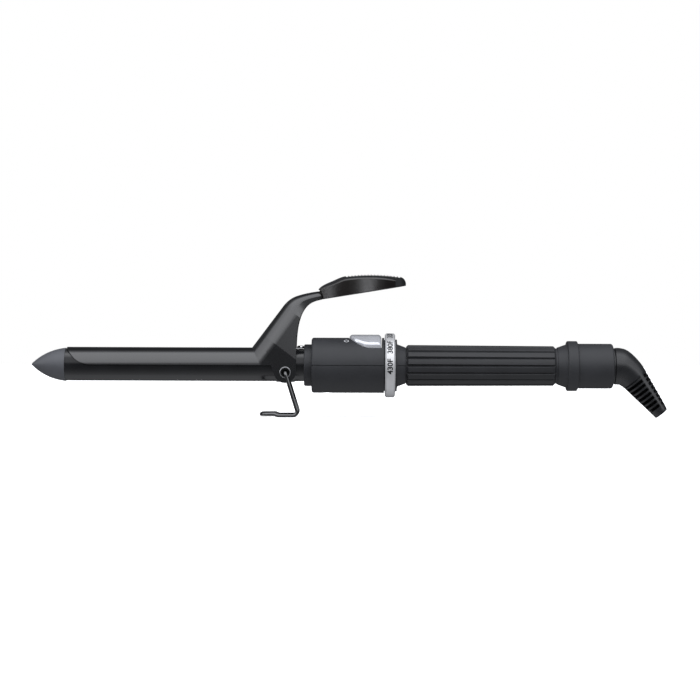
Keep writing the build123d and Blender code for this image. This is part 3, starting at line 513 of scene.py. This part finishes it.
# each ring goes with its distance along the taper, or None where there are no slots
boot_rings = [(Vector((boot_front, 0, r, 0)), None) for r in (socket_r, boot_front_r - 0.4)]
for before, a, b, after in zip(elbow, elbow[1:], elbow[2:], elbow[3:]):
    first_step = 1 if a is elbow[1] else 0
    shares = [k / elbow_steps for k in range(first_step, elbow_steps)]
    boot_rings += [(eased(before, a, b, after, share), None) for share in shares]
slot_shifts = (-slot_edge, slot_edge, slot_width / 2, slot_width - slot_edge, slot_width + slot_edge)
stops = sorted({round(start + shift, 3) for start, *_ in slot_list for shift in slot_shifts})
tapered = [elbow_end_t] + [t for t in reversed(stops) if t < elbow_end_t - 0.1] + [3.0, 1.6, 0.6]
boot_rings += [(Vector(along_taper(t)), t) for t in tapered]
for t, inset in ((0.18, 0.18), (0.0, 0.6)):
    x, h, r, turn = along_taper(t)
    boot_rings.append((Vector((x, h, r - inset, turn)), None))
for t in (0.0, 3.2):
    x, h, r, turn = along_taper(t)
    boot_rings.append((Vector((x, h, cord_r, turn)), None))
boot_skin, boot_cuts = [], []
for (x, h, r, turn), t in boot_rings:
    outward = Vector((-sin(turn), 0, cos(turn)))
    ring = []
    for k in range(boot_segments):
        a = 2 * pi * k / boot_segments
        cut = slot_cut(t, min(k, boot_segments - k) * 360 / boot_segments) if t is not None else 0.0
        ring.append(at(x, h) + (outward * cos(a) + Vector((0, -sin(a), 0))) * (r - cut) * MM)
        boot_cuts.append(cut)
    boot_skin.append(ring)
boot = piece("cord_outlet", mesh_from("cord_outlet", *skin(boot_skin)), "boot", "swivel")
# the deep slot faces take the near-black painted shade
boot.data.materials.append(looks["hollow"])
for face in boot.data.polygons:
    if len(face.vertices) == 4 and sum(boot_cuts[i] for i in face.vertices) / 4 > hollow_from:
        face.material_index = 1
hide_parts("strain_relief")

# -- printed marks
number_first, number_step = radians(-1.5), radians(37)  # up from the near side
for k, text in enumerate(("430F", "380F", "330F", "280F", "230F")):
    dial_number(text, number_first + k * number_step)

mark_x, mark_angle, mark_t = -1.8 * MM, radians(62), 0.03 * MM
off_mesh = mesh_from("off_mark", *flat_ring(1.45 * MM, 0.95 * MM, mark_t))
on_drum(off_mesh, housing_r, mark_x, mark_angle)
off_mark = piece("off_mark", off_mesh, "pale_ink", "root")
on_mesh = mesh_from("on_mark", *flat_bar(2.8 * MM, 0.5 * MM, mark_t))
on_drum(on_mesh, housing_r, mark_x, pi - mark_angle)
on_mark = piece("on_mark", on_mesh, "pale_ink", "root")

# ---------------------------------------------------------------- floor, light and camera
floor_reach, floor_glow = 4, 0.62
floor_corners = [(x * floor_reach, y * floor_reach, 0) for x, y in ((-1, -1), (1, -1), (1, 1), (-1, 1))]
floor_mesh = mesh_from("floor", floor_corners, [(0, 1, 2, 3)])
floor = bpy.data.objects.new("floor", floor_mesh)
bpy.context.scene.collection.objects.link(floor)
floor_look, floor_tree, floor_shader, floor_coords = tree_of("pale_floor")
floor_drift = noise(floor_tree, floor_coords, 3.0)
floor_tone = ramp(floor_tree, floor_drift, (0.90, 0.90, 0.90), (0.93, 0.93, 0.93))
floor_tree.links.new(floor_tone, floor_shader.inputs["Base Color"])
floor_shader.inputs["Roughness"].default_value = 0.9
floor_shader.inputs["Specular IOR Level"].default_value = 0.0
floor_shader.inputs["Emission Color"].default_value = (1, 1, 1, 1)
floor_shader.inputs["Emission Strength"].default_value = floor_glow
floor_mesh.materials.append(floor_look)
floor.visible_diffuse = False
floor.visible_glossy = False
floor.visible_shadow = False

cool = (0.985, 1.0, 1.04)
lamp_distance = 1.6


def softbox(name, azimuth, elevation, size, radiance):
    """Rectangular light that faces the object and is hidden from the camera.

    The azimuth, in degrees, is 0 in front and grows towards the cord.
    """
    data = bpy.data.lights.new(name, "AREA")
    data.shape = "RECTANGLE"
    data.size, data.size_y = size
    data.energy = radiance * pi * size[0] * size[1]
    data.color = cool
    lamp = bpy.data.objects.new(name, data)
    a, e = radians(azimuth), radians(elevation)
    middle = Vector((0, 0, axis_z))
    lamp.location = middle + lamp_distance * Vector((sin(a) * cos(e), -cos(a) * cos(e), sin(e)))
    lamp.rotation_euler = (middle - lamp.location).to_track_quat("-Z", "Y").to_euler()
    lamp.visible_camera = False
    bpy.context.scene.collection.objects.link(lamp)
    return lamp


# the two strips that show in the thumb rest's gloss light nothing else
rest_only = bpy.data.collections.new("thumb_rest_only")
rest_only.objects.link(nodes["thumb_rest"])
softbox("front_strip", -2.5, 4, (0.15, 0.24), 9.5).light_linking.receiver_collection = rest_only
softbox("heel_strip", -21, 4, (0.06, 0.24), 14.0).light_linking.receiver_collection = rest_only
softbox("left_strip", -30, 4, (0.26, 0.45), 1.4)
softbox("left_side", -78, 14, (0.6, 0.6), 2.0)
softbox("right_strip", 62, 6, (0.25, 0.5), 2.0)

# the camera sees a white studio; the object sees a soft band of light from the front over the top
world = bpy.data.worlds.new("studio")
bpy.context.scene.world = world
world.use_nodes = True
sky = world.node_tree


def sky_node(kind, operation=None, **inputs):
    """Node of the world, with its inputs given by number as values or as links."""
    node = sky.nodes.new(kind)
    if operation:
        node.operation = operation
    for place, source in inputs.items():
        socket = node.inputs[int(place[1:])]
        if isinstance(source, (int, float)):
            socket.default_value = source
        else:
            sky.links.new(source, socket)
    return node


sky_coords = sky.nodes.new("ShaderNodeTexCoord").outputs["Generated"]
direction = sky_node("ShaderNodeSeparateXYZ", i0=sky_coords)
front = sky_node("ShaderNodeMath", "MULTIPLY", i0=direction.outputs["Y"], i1=-1.0)
rise = sky_node("ShaderNodeMath", "ARCTAN2", i0=direction.outputs["Z"], i1=front.outputs[0])
rise_share = sky_node("ShaderNodeMath", "MULTIPLY_ADD", i0=rise.outputs[0], i1=1 / (2 * pi), i2=0.5)
band = sky_node("ShaderNodeValToRGB", i0=rise_share.outputs[0])
band_peak = 2.3
# angle up from the front, over the top to the back, and the light from there
band_stops = [(-180, 0.10), (-145, 0.18), (-90, 0.78), (-60, 0.52), (-30, 0.24), (4, 0.14),
              (18, 2.0), (50, 2.3), (82, 2.3), (100, 0.6), (122, 0.14), (180, 0.10)]
elements = band.color_ramp.elements
while len(elements) < len(band_stops):
    elements.new(0.5)
for element, (angle, value) in zip(elements, band_stops):
    element.position = angle / 360 + 0.5
    element.color = [value / band_peak * tone for tone in cool] + [1]
sideways = sky_node("ShaderNodeMath", "ABSOLUTE", i0=direction.outputs["X"])
side_start, side_share = 0.55, 0.4
side_fall = sky_node("ShaderNodeMapRange", i0=sideways.outputs[0], i1=side_start, i2=1.0,
                     i3=band_peak, i4=side_share * band_peak)
studio = sky_node("ShaderNodeBackground", i0=band.outputs["Color"], i1=side_fall.outputs[0])
white = sky_node("ShaderNodeBackground", i1=1.0)
white.inputs["Color"].default_value = (1, 1, 1, 1)
seen = sky_node("ShaderNodeLightPath").outputs["Is Camera Ray"]
mixed = sky_node("ShaderNodeMixShader", i0=seen, i1=studio.outputs[0], i2=white.outputs[0])
sky.links.new(mixed.outputs[0], sky.nodes["World Output"].inputs["Surface"])
bpy.context.scene.view_settings.view_transform = "Standard"

view_width, view_distance, view_x, view_rise = 413 * MM, 1.25, 0.3 * MM, 9.05 * MM
sensor_width, roll = 36, radians(-0.2)
camera_data = bpy.data.cameras.new("camera")
camera_data.sensor_width = sensor_width
camera_data.lens = sensor_width * view_distance / view_width
camera = bpy.data.objects.new("camera", camera_data)
camera.location = (view_x, -view_distance, axis_z + view_rise)
camera.rotation_euler = (Matrix.Rotation(roll, 3, "Y") @ Matrix.Rotation(pi / 2, 3, "X")).to_euler()
bpy.context.scene.collection.objects.link(camera)
bpy.context.scene.camera = camera
